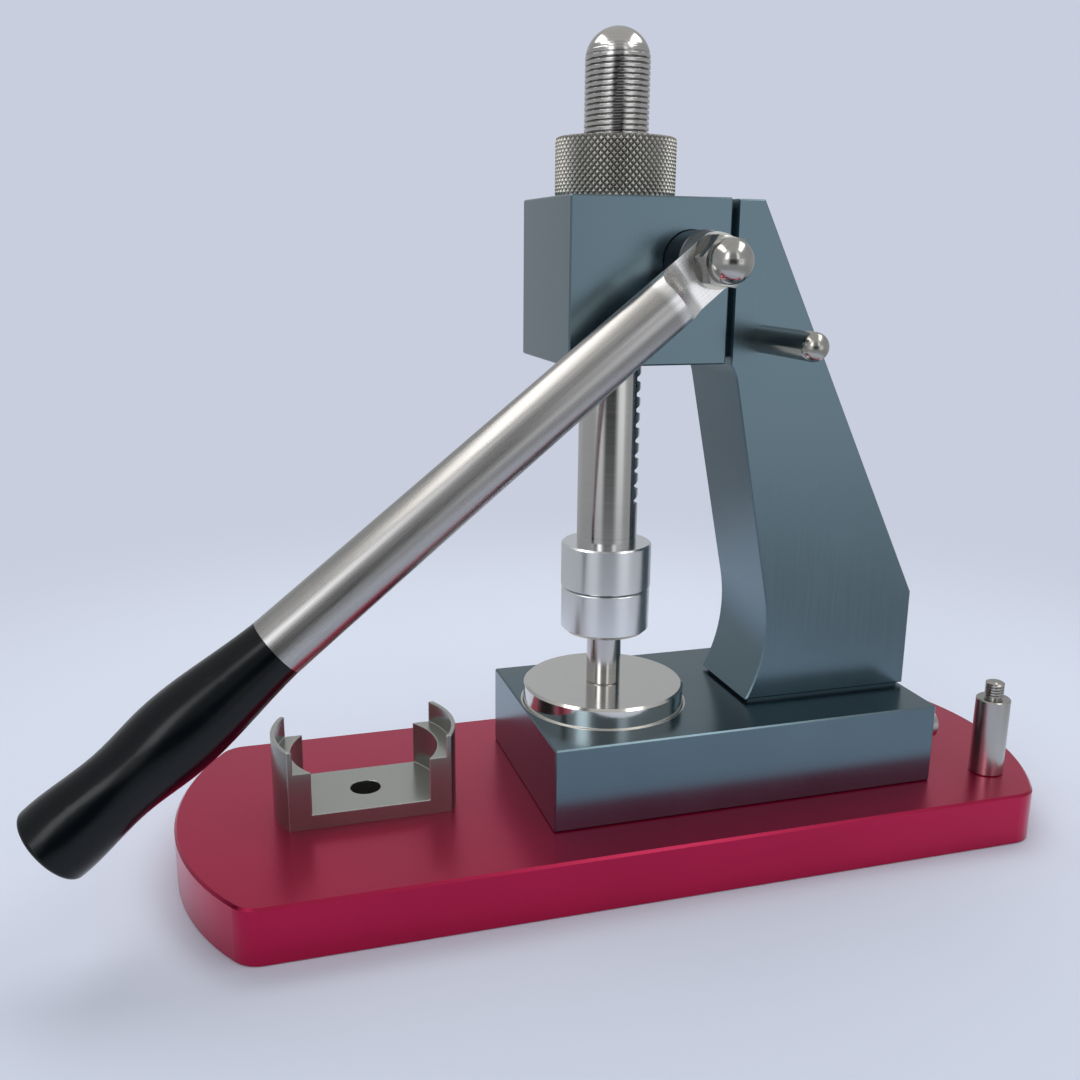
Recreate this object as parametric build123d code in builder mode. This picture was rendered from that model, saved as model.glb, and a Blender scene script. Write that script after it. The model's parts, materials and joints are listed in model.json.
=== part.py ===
import os
from math import acos, cos, degrees, pi, radians, sin, sqrt, tan

from build123d import *

# Hand lever capping press, a rack press on a long base plate, in millimetres
# The origin is the middle of the plate's underside: +X to the column, +Y away from the lever

# Fits, all radial
running_fit = 0.05
screw_fit = 0.05
press_fit = 0.02
end_float = 0.1
edge_break = 0.6
bore_break = 0.3
drill_spare = 1

# Base plate
plate_length = 376
plate_width = 140
plate_thickness = 23
plate_end_radius = 115
plate_corner_radius = 12
plate_edge = 1.0
plate_foot_edge = 0.5

# Lower block, placed by the axis of the ram
press_x = -7.5
block_front = 36.2
block_length = 172
block_width = 94
block_height = 35

# Anvil disc in its recess
anvil_d = 68.8
anvil_proud = 8.6
anvil_recess_depth = 6
anvil_recess_gap = 0.2
anvil_edge = 1.0
anvil_foot_edge = 0.5

# Punch, and the two pieces that carry it under the ram
punch_d = 14.6
punch_length = 34.7
punch_edge = 0.5
punch_stud_d = 8
punch_stud_length = 7.9
punch_neck = 1.2
punch_gap = 0.1
holder_d = 37.2
holder_height = 19.1
holder_socket_depth = 11
holder_lower_edge = 1.6
holder_tenon_d = 12
holder_tenon_length = 9
collar_d = 37.7
collar_height = 19.1
collar_edge = 0.7

# Ram with its rack, its threaded end and its stop nut
ram_d = 25
ram_length = 200.2
ram_tenon_length = 9
thread_root_d = 22.55
thread_runout = 1.0
stop_nut_d = 46.8
stop_nut_height = 22.2
stop_nut_edge = 0.5
stop_nut_fit = 0.08

# Rack and pinion
tooth_module = 2
pressure_angle = 20
pinion_teeth = 8
profile_shift = 0.55
tooth_backlash = 0.14
rack_grooves = 18
rack_start = 18.37
rack_dedendum = 1.25
pinion_tip_d = 21.2
pinion_root_d = 13.0
pinion_face = 19
flank_points = 6
flank_spacing = 1.5
rack_mouth_spare = 1

# Head block that guides the ram and carries the pinion shaft
throat_height = 146.4
head_front = 28.1
head_back = 35.9
head_width = 62
head_height = 62
head_ram_gap = 0.5
bush_wall = 3.5
bush_lower_length = 25
bush_upper_length = 10
pivot_rise = 39.0
shaft_bore_edge = 0.3

# Pinion shaft, from the far side to the lever
shaft_d = 22
shaft_end_d = 16
shaft_end_wall = 6
shaft_end_stub = 1.6
shaft_thread_d = 10
shaft_thread_length = 13.5
shaft_square = 10
shaft_square_short = 0.5
hub_length = 14
hub_edge = 0.4
thrust_washer_d = 26
thrust_washer_thickness = 1.0
ring_groove_depth = 0.4
ring_groove_width = 1.1
ring_thickness = 1.0
ring_d = 21
ring_opening = 6

# Lever, at rest with the ram down
lever_angle = 39.23
lever_tongue_thickness = 8
lever_tongue_flat = 12.7
lever_tongue_end_radius = 10.2
lever_tongue_runout = 9
lever_bar_shift = 1
lever_bar_d = 19.8
lever_bar_end_d = 23.0
lever_bar_length = 206
lever_spigot_d = 14
lever_spigot_length = 70
lever_spigot_fit = 0.05
lever_stock_spare = 1

# Moulded grip, lengths along the lever from where it meets the bar
grip_length = 101.6
grip_bulge_at = 50
grip_bulge_d = 29.9
grip_waist_at = 69
grip_waist_d = 27
grip_flare_at = 91.5
grip_flare_d = 30
grip_butt_d = 30.2
grip_butt_radius = 2
grip_start_slope = 0.05
grip_end_slope = -0.04

# Domed nut and washer on the end of the shaft
washer_d = 20
washer_thickness = 2
washer_fit = 0.1
cap_nut_flats = 17
cap_nut_hex_height = 8
cap_nut_edge_angle = 30
cap_nut_dome_d = 16
cap_nut_neck = 2
cap_nut_turn = 12
cap_nut_bore_depth = 14

# Column
column_width = 44.4
column_front = 42.6
column_back_inset = 0.5
column_top_depth = 11.4
column_knee_height = 44
column_lip = 1.4
column_lip_drop = 6.6
column_lip_step = 3.0
column_waist = 64.0
column_waist_height = 47.4
column_foot_front = 57.4
foot_pad_height = 1.5
foot_pad_inset = 2
seat_side_inset = 4.2
seat_top_inset = 3.4
seat_bottom_inset = 1.6

# Stop pin for the lever
stop_pin_d = 11
stop_pin_reach = 38.3
stop_pin_depth = 14
stop_pin_x = 56.8
stop_pin_below_pivot = 30.3

# Nest for the bottle foot, at the front of the plate
nest_from_end = 76.5
nest_d = 75
nest_width = 37
nest_height = 34
nest_floor = 6.5
nest_bore_d = 60
nest_ledge_height = 24.7
nest_rim_d = 71.5
nest_hole_d = 12.7
nest_edge = 0.4

# Spare punch, stood on the rear of the plate
spare_from_end = 29
spare_from_side = 25

# Cap screws: thread, head, key size and clearance hole
m8_d = 8
m8_head_d = 13
m8_head_height = 8
m8_key = 6
m8_hole_d = 9
m6_d = 6
m6_head_d = 10
m6_head_height = 6
m6_key = 5
m6_hole_d = 6.6
m5_d = 5
m5_head_d = 8.5
m5_head_height = 5
m5_key = 4
m5_hole_d = 5.5
screw_head_edge_share = 0.08
screw_tip_edge_share = 0.1
screw_head_gap = 0.6
screw_recess = 0.8
key_depth_share = 0.5
block_screw_inset_x = 22
block_screw_inset_y = 14
block_screw_bite = 14
column_screw_pitch_x = 46
column_screw_pitch_y = 24
column_screw_bite = 16
anvil_screw_bite = 8
head_screw_pitch_y = 24
head_screw_rise_low = 21.4
head_screw_drop_high = 7.2
head_screw_bite = 14
head_screw_cover = 2
nest_screw_pitch = 46
nest_screw_bite = 5.3
nest_drill_spare = 0.4
rear_screw_pitch = 67
rear_screw_rise = 21
rear_screw_bite = 16

# Levels and places worked out from the sizes
block_top = plate_thickness + block_height
block_front_x = press_x - block_front
block_rear_x = block_front_x + block_length
block_mid_x = block_front_x + block_length / 2
anvil_top = block_top + anvil_proud
anvil_seat = block_top - anvil_recess_depth
holder_bottom = anvil_top + punch_length - holder_socket_depth
collar_bottom = holder_bottom + holder_height
ram_foot = collar_bottom + collar_height
ram_top = ram_foot + ram_length
head_bottom = block_top + throat_height
head_top = head_bottom + head_height
thread_start = head_top - thread_runout
dome_centre = ram_top - ram_d / 2
pivot_z = head_bottom + pivot_rise
seat_x = press_x + head_back
column_x = press_x + column_front
column_rear_x = block_rear_x - column_back_inset
nest_x = nest_from_end - plate_length / 2
spare_x = plate_length / 2 - spare_from_end
spare_y = spare_from_side - plate_width / 2

# Rack lines measured from the ram's axis, and where the pinion rolls on them
tooth_pitch = pi * tooth_module
rack_crest = ram_d / 2
rack_line = rack_crest - tooth_module
rack_root = rack_line - rack_dedendum * tooth_module
pitch_radius = tooth_module * pinion_teeth / 2
pivot_x = press_x + rack_line + profile_shift * tooth_module + pitch_radius
first_groove = ram_foot + rack_start
meshing_groove = round((pivot_z - first_groove) / tooth_pitch)
mesh_angle = (first_groove + meshing_groove * tooth_pitch - pivot_z) / pitch_radius

# Stations across the press, from the far end of the shaft to its domed nut
head_near_y = -head_width / 2
head_far_y = head_width / 2
shaft_step_y = head_far_y - shaft_end_wall - end_float
washer_far_y = head_far_y + end_float
ring_y = washer_far_y + thrust_washer_thickness
shaft_end_y = ring_y + ring_groove_width + shaft_end_stub
hub_y = head_near_y - hub_length
tongue_y = hub_y - lever_tongue_thickness
lever_y = tongue_y - lever_bar_shift
cap_nut_y = tongue_y - washer_thickness

low = (Align.CENTER, Align.CENTER, Align.MIN)
high = (Align.CENTER, Align.CENTER, Align.MAX)
lever_along = (-cos(radians(lever_angle)), 0, -sin(radians(lever_angle)))
lever_across = (sin(radians(lever_angle)), 0, -cos(radians(lever_angle)))


# Plane square to the shaft at station y, facing the lever side, its x along the lever
def shaft_plane(y):
    return Plane(origin=(pivot_x, y, pivot_z), x_dir=lever_along, z_dir=(0, -1, 0))


# Plane square to the shaft at station y, its x towards the rack and its y up
def rack_plane(y):
    return Plane(origin=(pivot_x, y, pivot_z), x_dir=(-1, 0, 0), z_dir=(0, 1, 0))


# Spots for screws and holes that enter a face from below, and from the rear
def from_below(points, z):
    return [Location((x, y, z), (180, 0, 0)) for x, y in points]


def from_rear(points, x):
    return [Location((x, y, z), (0, 90, 0)) for y, z in points]


# Socket head cap screw: its head stands on the spot, its shank goes down from it
def cap_screw(thread_d, head_d, head_height, key, length):
    with BuildPart() as screw:
        Cylinder(head_d / 2, head_height, align=low)
        chamfer(screw.edges().group_by(Axis.Z)[-1], head_height * screw_head_edge_share)
        Cylinder(thread_d / 2, length, align=high)
        chamfer(screw.edges().group_by(Axis.Z)[0], thread_d * screw_tip_edge_share)
        with BuildSketch(Plane.XY.offset(head_height)):
            RegularPolygon(key / 2, 6, major_radius=False)
        extrude(amount=-head_height * key_depth_share, mode=Mode.SUBTRACT)
    return screw.part


# Four points about a middle
def four_points(mid_x, mid_y, pitch_x, pitch_y):
    sides = [(-1, -1), (1, -1), (-1, 1), (1, 1)]
    return [(mid_x + sx * pitch_x / 2, mid_y + sy * pitch_y / 2) for sx, sy in sides]


block_screw_points = four_points(
    block_mid_x, 0, block_length - 2 * block_screw_inset_x, block_width - 2 * block_screw_inset_y
)
column_foot_mid = (press_x + column_foot_front + column_rear_x) / 2
column_screw_points = four_points(column_foot_mid, 0, column_screw_pitch_x, column_screw_pitch_y)
nest_screw_points = [(nest_x + side * nest_screw_pitch / 2, 0) for side in (-1, 1)]
rear_screw_points = [(side * rear_screw_pitch / 2, plate_thickness + rear_screw_rise) for side in (-1, 1)]
head_screw_low_z = head_bottom + head_screw_rise_low
head_screw_high_z = head_top - head_screw_drop_high


# Base plate with arched ends
def make_base_plate():
    half = plate_width / 2
    end_sag = plate_end_radius - sqrt(plate_end_radius**2 - half**2)
    end_x = plate_length / 2
    side_x = end_x - end_sag
    with BuildPart() as base_plate:
        with BuildSketch() as outline:
            with BuildLine():
                Line((-side_x, -half), (side_x, -half))
                ThreePointArc((side_x, -half), (end_x, 0), (side_x, half))
                Line((side_x, half), (-side_x, half))
                ThreePointArc((-side_x, half), (-end_x, 0), (-side_x, -half))
            make_face()
            fillet(outline.vertices(), plate_corner_radius)
        extrude(amount=plate_thickness)
        chamfer(base_plate.edges().group_by(Axis.Z)[-1], plate_edge)
        chamfer(base_plate.edges().group_by(Axis.Z)[0], plate_foot_edge)
        with Locations(*from_below(block_screw_points, 0)):
            CounterBoreHole(m8_hole_d / 2, m8_head_d / 2 + screw_head_gap, m8_head_height + screw_recess)
        with Locations(*from_below(nest_screw_points, 0)):
            CounterBoreHole(m5_hole_d / 2, m5_head_d / 2 + screw_head_gap, m5_head_height + screw_recess)
    return base_plate.part


# Lower block: recess for the anvil, tapped holes for the screws that reach it
def make_lower_block():
    with BuildPart() as lower_block:
        with BuildSketch(Plane.XY.offset(plate_thickness)):
            with Locations((block_mid_x, 0)):
                Rectangle(block_length, block_width)
        extrude(amount=block_height)
        chamfer(lower_block.edges(), edge_break)
        with BuildSketch(Plane.XY.offset(block_top)):
            with Locations((press_x, 0)):
                Circle(anvil_d / 2 + anvil_recess_gap)
        extrude(amount=-anvil_recess_depth, mode=Mode.SUBTRACT)
        rim = lower_block.edges().filter_by(GeomType.CIRCLE).group_by(Axis.Z)[-1]
        chamfer(rim, edge_break)
        with Locations(*from_below(block_screw_points, plate_thickness)):
            Hole(m8_d / 2 + screw_fit, block_screw_bite + drill_spare)
        with Locations(*from_below(column_screw_points, plate_thickness)):
            CounterBoreHole(m8_hole_d / 2, m8_head_d / 2 + screw_head_gap, m8_head_height + screw_recess)
        with Locations(*from_below([(press_x, 0)], plate_thickness)):
            CounterBoreHole(m6_hole_d / 2, m6_head_d / 2 + screw_head_gap, m6_head_height + screw_recess)
        with Locations(*from_rear(rear_screw_points, block_rear_x)):
            Hole(m8_d / 2 + screw_fit, rear_screw_bite + drill_spare)
    return lower_block.part


# Polished anvil disc
def make_anvil_disc():
    with BuildPart() as anvil_disc:
        with Locations((press_x, 0, anvil_seat)):
            Cylinder(anvil_d / 2, anvil_recess_depth + anvil_proud, align=low)
        chamfer(anvil_disc.edges().group_by(Axis.Z)[-1], anvil_edge)
        chamfer(anvil_disc.edges().group_by(Axis.Z)[0], anvil_foot_edge)
        with Locations(*from_below([(press_x, 0)], anvil_seat)):
            Hole(m6_d / 2 + screw_fit, anvil_screw_bite + drill_spare)
    return anvil_disc.part


# Column: a shaped plate standing on a narrow foot pad, with a raised seat for the head
def make_column():
    lip_z = head_bottom - column_lip
    foot_z = block_top + foot_pad_height
    slant_top = (column_x + column_lip_step, lip_z - column_lip_drop)
    slant_foot = (press_x + column_waist, block_top + column_waist_height)
    slant_down = (slant_foot[0] - slant_top[0], slant_foot[1] - slant_top[1])
    slant_up = (-slant_down[0], -slant_down[1])
    foot_front = (press_x + column_foot_front, foot_z)
    knee = (column_rear_x, block_top + column_knee_height)
    with BuildPart() as column:
        with BuildSketch(Plane.XZ):
            with BuildLine():
                Line((column_x, head_top), (column_x, lip_z))
                TangentArc(slant_top, (column_x, lip_z), tangent=slant_up)
                Line(slant_top, slant_foot)
                TangentArc(slant_foot, foot_front, tangent=slant_down)
                Line(foot_front, (column_rear_x, foot_z))
                Line((column_rear_x, foot_z), knee)
                Line(knee, (column_x + column_top_depth, head_top))
                Line((column_x + column_top_depth, head_top), (column_x, head_top))
            make_face()
        extrude(amount=column_width / 2, both=True)
        near = column.faces().sort_by(Axis.Y)[0]
        far = column.faces().sort_by(Axis.Y)[-1]
        chamfer(near.edges() + far.edges(), edge_break)
        pad_length = column_rear_x - foot_front[0] - 2 * foot_pad_inset
        with BuildSketch(Plane.XY.offset(block_top)):
            with Locations((column_foot_mid, 0)):
                Rectangle(pad_length, column_width - 2 * foot_pad_inset)
        extrude(amount=foot_pad_height)
        seat_height = head_height - seat_top_inset - seat_bottom_inset
        seat_mid = head_bottom + seat_bottom_inset + seat_height / 2
        with BuildSketch(Plane.YZ.offset(seat_x)):
            with Locations((0, seat_mid)):
                Rectangle(column_width - 2 * seat_side_inset, seat_height)
        extrude(amount=column_x - seat_x)
        with Locations(*from_below(column_screw_points, block_top)):
            Hole(m8_d / 2 + screw_fit, column_screw_bite + drill_spare)
        for z in (head_screw_low_z, head_screw_high_z):
            head_seat = head_screw_seat(z)
            with Locations(*from_rear(head_screw_row(z), head_seat)):
                Hole(m6_hole_d / 2)
                Cylinder(m6_head_d / 2 + screw_head_gap, block_length, align=low, mode=Mode.SUBTRACT)
        with Locations(Location((press_x + stop_pin_x, -column_width / 2, stop_pin_z()), (90, 0, 0))):
            Hole(stop_pin_d / 2 + press_fit, stop_pin_depth + drill_spare)
    return column.part


def stop_pin_z():
    return pivot_z - stop_pin_below_pivot


# Points of one row of head screws, and the depth at which their heads sit under the slanted back
def head_screw_row(z):
    return [(side * head_screw_pitch_y / 2, z) for side in (-1, 1)]


def head_screw_seat(z):
    knee_z = block_top + column_knee_height
    top_x = column_x + column_top_depth
    share = (head_top - (z + m6_head_d / 2)) / (head_top - knee_z)
    back_x = top_x + share * (column_rear_x - top_x)
    return back_x - m6_head_height - head_screw_cover


# Head block: bored for the ram and its bushes, cross bored for the pinion shaft
def make_head_block():
    bush_d = ram_d + 2 * (running_fit + bush_wall)
    with BuildPart() as head_block:
        with BuildSketch(Plane.XY.offset(head_bottom)):
            with Locations((press_x + (head_back - head_front) / 2, 0)):
                Rectangle(head_front + head_back, head_width)
        extrude(amount=head_height)
        chamfer(head_block.edges(), edge_break)
        with Locations((press_x, 0, head_top)):
            CounterBoreHole(ram_d / 2 + head_ram_gap, bush_d / 2 + press_fit, bush_upper_length)
        with Locations(*from_below([(press_x, 0)], head_bottom)):
            Hole(bush_d / 2 + press_fit, bush_lower_length)
        with BuildSketch(shaft_plane(head_far_y)):
            Circle(shaft_end_d / 2 + running_fit)
        extrude(amount=head_width, mode=Mode.SUBTRACT)
        with BuildSketch(shaft_plane(head_far_y - shaft_end_wall)):
            Circle(shaft_d / 2 + running_fit)
        extrude(amount=head_width, mode=Mode.SUBTRACT)
        near_face = head_block.faces().sort_by(Axis.Y)[0]
        chamfer(near_face.inner_wires().edges(), shaft_bore_edge)
        for z in (head_screw_low_z, head_screw_high_z):
            with Locations(*from_rear(head_screw_row(z), seat_x)):
                Hole(m6_d / 2 + screw_fit, head_screw_bite + drill_spare)
    return head_block.part


# Plain bush for the ram, its lower face at z
def make_bush(z, length):
    with BuildPart() as bush:
        with Locations((press_x, 0, z)):
            Cylinder(ram_d / 2 + running_fit + bush_wall, length, align=low)
            Hole(ram_d / 2 + running_fit)
        bore_edges = bush.edges().filter_by(GeomType.CIRCLE).sort_by(SortBy.RADIUS)[:2]
        chamfer(bore_edges, bore_break)
    return bush.part


# Ram: foot tenon, rack cut across its rear side, threaded length and round end
# The root of the thread runs up to where it meets the round end
def make_ram():
    tenon_r = holder_tenon_d / 2
    dome_angle = acos(thread_root_d / ram_d)
    with BuildPart() as ram:
        with BuildSketch(Plane.XZ):
            with BuildLine():
                Polyline(
                    (press_x, ram_foot - ram_tenon_length),
                    (press_x + tenon_r, ram_foot - ram_tenon_length),
                    (press_x + tenon_r, ram_foot),
                    (press_x + ram_d / 2, ram_foot),
                    (press_x + ram_d / 2, thread_start),
                    (press_x + thread_root_d / 2, thread_start),
                    (press_x + thread_root_d / 2, dome_centre + ram_d / 2 * sin(dome_angle)),
                )
                dome_start = degrees(dome_angle)
                dome = CenterArc((press_x, dome_centre), ram_d / 2, dome_start, 90 - dome_start)
                Line(dome @ 1, (press_x, ram_foot - ram_tenon_length))
            make_face()
        revolve(axis=Axis((press_x, 0, 0), (0, 0, 1)))
        slope = tan(radians(pressure_angle))
        half_line = tooth_pitch / 4
        root_half = half_line - (rack_line - rack_root) * slope
        mouth = rack_crest + rack_mouth_spare
        mouth_half = half_line + (mouth - rack_line) * slope
        rack_mid = first_groove + (rack_grooves - 1) * tooth_pitch / 2
        with BuildSketch(Plane.XZ):
            with Locations((press_x, rack_mid)):
                with GridLocations(1, tooth_pitch, 1, rack_grooves):
                    Polygon(
                        (rack_root, -root_half),
                        (mouth, -mouth_half),
                        (mouth, mouth_half),
                        (rack_root, root_half),
                        align=None,
                    )
        extrude(amount=ram_d / 2, both=True, mode=Mode.SUBTRACT)
    return ram.part


# Stop nut, as wide as the crests of its knurl
def make_stop_nut():
    half = stop_nut_d / 2
    bore = thread_root_d / 2 + stop_nut_fit
    with BuildPart() as stop_nut:
        with BuildSketch(Plane.XZ):
            with BuildLine():
                Polyline(
                    (press_x + bore, head_top),
                    (press_x + half - stop_nut_edge, head_top),
                    (press_x + half, head_top + stop_nut_edge),
                    (press_x + half, head_top + stop_nut_height - stop_nut_edge),
                    (press_x + half - stop_nut_edge, head_top + stop_nut_height),
                    (press_x + bore, head_top + stop_nut_height),
                    close=True,
                )
            make_face()
        revolve(axis=Axis((press_x, 0, 0), (0, 0, 1)))
    return stop_nut.part


# Coupling collar that joins the ram and the punch holder
def make_coupling_collar():
    with BuildPart() as coupling_collar:
        with Locations((press_x, 0, collar_bottom)):
            Cylinder(collar_d / 2, collar_height, align=low)
        chamfer(coupling_collar.edges(), collar_edge)
        with Locations((press_x, 0, ram_foot)):
            Hole(holder_tenon_d / 2 + screw_fit)
    return coupling_collar.part


# Punch holder: a tenon above, a socket for the punch below
def make_punch_holder():
    with BuildPart() as punch_holder:
        with Locations((press_x, 0, holder_bottom)):
            Cylinder(holder_d / 2, holder_height, align=low)
        chamfer(punch_holder.edges().group_by(Axis.Z)[-1], collar_edge)
        chamfer(punch_holder.edges().group_by(Axis.Z)[0], holder_lower_edge)
        with Locations((press_x, 0, collar_bottom)):
            Cylinder(holder_tenon_d / 2, holder_tenon_length, align=low)
        with Locations(*from_below([(press_x, 0)], holder_bottom)):
            Hole(punch_d / 2 + punch_gap, holder_socket_depth)
            Hole(punch_stud_d / 2 + screw_fit, holder_socket_depth + punch_stud_length + drill_spare)
    return punch_holder.part


# Punch with its threaded stud, foot at (x, y, z)
def make_punch(x, y, z):
    with BuildPart() as punch:
        with Locations((x, y, z)):
            Cylinder(punch_d / 2, punch_length, align=low)
        chamfer(punch.edges(), punch_edge)
        with Locations((x, y, z + punch_length)):
            Cylinder(punch_stud_d / 2 - punch_edge, punch_neck, align=low)
        with Locations((x, y, z + punch_length + punch_neck)):
            Cylinder(punch_stud_d / 2, punch_stud_length - punch_neck, align=low)
        chamfer(punch.edges().group_by(Axis.Z)[-1], punch_edge)
    return punch.part


# Angle of the involute at radius r beyond the base circle
def involute(r, base_radius):
    angle = acos(min(1, base_radius / r))
    return tan(angle) - angle


# Half the angle that a pinion tooth spans at radius r
def tooth_half_angle(r):
    base_radius = pitch_radius * cos(radians(pressure_angle))
    shift_width = 2 * profile_shift * tan(radians(pressure_angle))
    thickness = tooth_module * (pi / 2 + shift_width) - tooth_backlash
    at_pitch = thickness / (2 * pitch_radius) + involute(pitch_radius, base_radius)
    return at_pitch - involute(max(r, base_radius), base_radius)


def tooth_point(r, side):
    half = tooth_half_angle(r)
    return (r * cos(half), side * r * sin(half))


# Outline of one pinion tooth, pointing along x
def make_pinion_tooth():
    base_radius = pitch_radius * cos(radians(pressure_angle))
    tip_radius = pinion_tip_d / 2
    shares = [(k / (flank_points - 1)) ** flank_spacing for k in range(flank_points)]
    flank = [base_radius + (tip_radius - base_radius) * share for share in shares]
    inside_root = pinion_root_d / 4
    with BuildSketch() as tooth:
        with BuildLine():
            upper = Spline([tooth_point(r, 1) for r in flank])
            lower = Spline([tooth_point(r, -1) for r in flank])
            ThreePointArc(upper @ 1, (tip_radius, 0), lower @ 1)
            Polyline(upper @ 0, (inside_root, 0), lower @ 0)
        make_face()
    return tooth.sketch


# Pinion shaft: eight teeth between two journals, hub, square and thread for the lever
def make_pinion_shaft():
    tooth = make_pinion_tooth()
    far_face = pinion_face / 2
    with BuildPart() as pinion_shaft:
        with BuildSketch(shaft_plane(shaft_end_y)):
            Circle(shaft_end_d / 2)
        extrude(amount=shaft_end_y - shaft_step_y)
        chamfer(pinion_shaft.edges().group_by(Axis.Y)[-1], edge_break)
        with BuildSketch(shaft_plane(ring_y + ring_groove_width)):
            Circle(shaft_end_d)
            Circle(shaft_end_d / 2 - ring_groove_depth, mode=Mode.SUBTRACT)
        extrude(amount=ring_groove_width, mode=Mode.SUBTRACT)
        with BuildSketch(shaft_plane(shaft_step_y)):
            Circle(shaft_d / 2)
        extrude(amount=shaft_step_y - far_face)
        with BuildSketch(rack_plane(-far_face)):
            Circle(pinion_root_d / 2)
            with PolarLocations(0, pinion_teeth, start_angle=degrees(mesh_angle)):
                add(tooth)
        extrude(amount=pinion_face)
        with BuildSketch(shaft_plane(-far_face)):
            Circle(shaft_d / 2)
        extrude(amount=-far_face - hub_y)
        chamfer(pinion_shaft.edges().group_by(Axis.Y)[0], hub_edge)
        with BuildSketch(shaft_plane(hub_y)):
            Rectangle(shaft_square, shaft_square)
        extrude(amount=lever_tongue_thickness - shaft_square_short)
        with BuildSketch(shaft_plane(tongue_y + shaft_square_short)):
            Circle(shaft_thread_d / 2)
        extrude(amount=shaft_thread_length)
        chamfer(pinion_shaft.edges().group_by(Axis.Y)[0], edge_break)
    return pinion_shaft.part


# Washer and spring ring that hold the far end of the shaft
def make_thrust_washer():
    with BuildPart() as thrust_washer:
        with BuildSketch(shaft_plane(ring_y)):
            Circle(thrust_washer_d / 2)
            Circle(shaft_end_d / 2 + running_fit, mode=Mode.SUBTRACT)
        extrude(amount=thrust_washer_thickness)
    return thrust_washer.part


def make_retaining_ring():
    with BuildPart() as retaining_ring:
        with BuildSketch(shaft_plane(ring_y + ring_thickness)):
            Circle(ring_d / 2)
            Circle(shaft_end_d / 2 - ring_groove_depth + press_fit, mode=Mode.SUBTRACT)
            with Locations((ring_d / 2, 0)):
                Rectangle(ring_d, ring_opening, mode=Mode.SUBTRACT)
        extrude(amount=ring_thickness)
    return retaining_ring.part


# Lever bar: a tapered round bar whose end is milled to a flat tongue round the shaft
def make_lever_bar():
    middle = shaft_plane(lever_y)
    along = Plane(origin=middle.origin, x_dir=lever_along, z_dir=lever_across)
    reach = lever_bar_end_d
    stock_end = lever_tongue_end_radius + lever_stock_spare
    with BuildPart() as lever_bar:
        with BuildSketch(middle):
            with BuildLine():
                Polyline(
                    (-stock_end, 0),
                    (-stock_end, lever_bar_d / 2),
                    (0, lever_bar_d / 2),
                    (lever_bar_length, lever_bar_end_d / 2),
                    (lever_bar_length, lever_spigot_d / 2),
                    (lever_bar_length + lever_spigot_length, lever_spigot_d / 2),
                    (lever_bar_length + lever_spigot_length, 0),
                    close=True,
                )
            make_face()
        revolve(axis=Axis(middle.origin, Vector(*lever_along)))
        rings = lever_bar.edges().filter_by(GeomType.CIRCLE)
        chamfer(rings.sort_by_distance(middle.origin)[-1], edge_break)
        with BuildSketch(middle):
            with Locations((-reach / 2, 0)):
                Rectangle(reach, 2 * reach)
            Circle(lever_tongue_end_radius, mode=Mode.SUBTRACT)
        extrude(amount=reach, both=True, mode=Mode.SUBTRACT)
        for flat, side in ((tongue_y - lever_y, -1), (hub_y - lever_y, 1)):
            mill_centre = (lever_tongue_flat, flat + side * lever_tongue_runout)
            mill_end = lever_tongue_flat + lever_tongue_runout
            with BuildSketch(along):
                with BuildLine():
                    bed = Line((-reach, flat), (lever_tongue_flat, flat))
                    rise = CenterArc(mill_centre, lever_tongue_runout, -90 * side, 90 * side)
                    Polyline(rise @ 1, (mill_end, side * reach), (-reach, side * reach), bed @ 0)
                make_face()
            extrude(amount=reach, both=True, mode=Mode.SUBTRACT)
        with BuildSketch(shaft_plane(hub_y)):
            Rectangle(shaft_square + 2 * screw_fit, shaft_square + 2 * screw_fit)
        extrude(amount=lever_tongue_thickness, mode=Mode.SUBTRACT)
    return lever_bar.part


# Moulded grip: swelling, waist and flared butt, on the bar's spigot
def make_lever_grip():
    start = lever_bar_length
    butt = start + grip_length
    with BuildPart() as lever_grip:
        with BuildSketch(shaft_plane(lever_y)):
            with BuildLine():
                side = Spline(
                    [
                        (start, lever_bar_end_d / 2),
                        (start + grip_bulge_at, grip_bulge_d / 2),
                        (start + grip_waist_at, grip_waist_d / 2),
                        (start + grip_flare_at, grip_flare_d / 2),
                        (butt - grip_butt_radius, grip_butt_d / 2),
                    ],
                    tangents=[(1, grip_start_slope), (1, grip_end_slope)],
                )
                heel_centre = (butt - grip_butt_radius, grip_butt_d / 2 - grip_butt_radius)
                heel = CenterArc(heel_centre, grip_butt_radius, 90, -90)
                Polyline(heel @ 1, (butt, 0), (start, 0), side @ 0)
            make_face()
        revolve(axis=Axis(shaft_plane(lever_y).origin, Vector(*lever_along)))
        bore = Plane(origin=Vector(*lever_along) * start + shaft_plane(lever_y).origin, z_dir=lever_along)
        with BuildSketch(bore):
            Circle(lever_spigot_d / 2 + lever_spigot_fit)
        extrude(amount=lever_spigot_length + drill_spare, mode=Mode.SUBTRACT)
    return lever_grip.part


# Washer and domed nut
def make_lever_washer():
    with BuildPart() as lever_washer:
        with BuildSketch(shaft_plane(tongue_y)):
            Circle(washer_d / 2)
            Circle(shaft_thread_d / 2 + washer_fit, mode=Mode.SUBTRACT)
        extrude(amount=washer_thickness)
    return lever_washer.part


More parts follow.
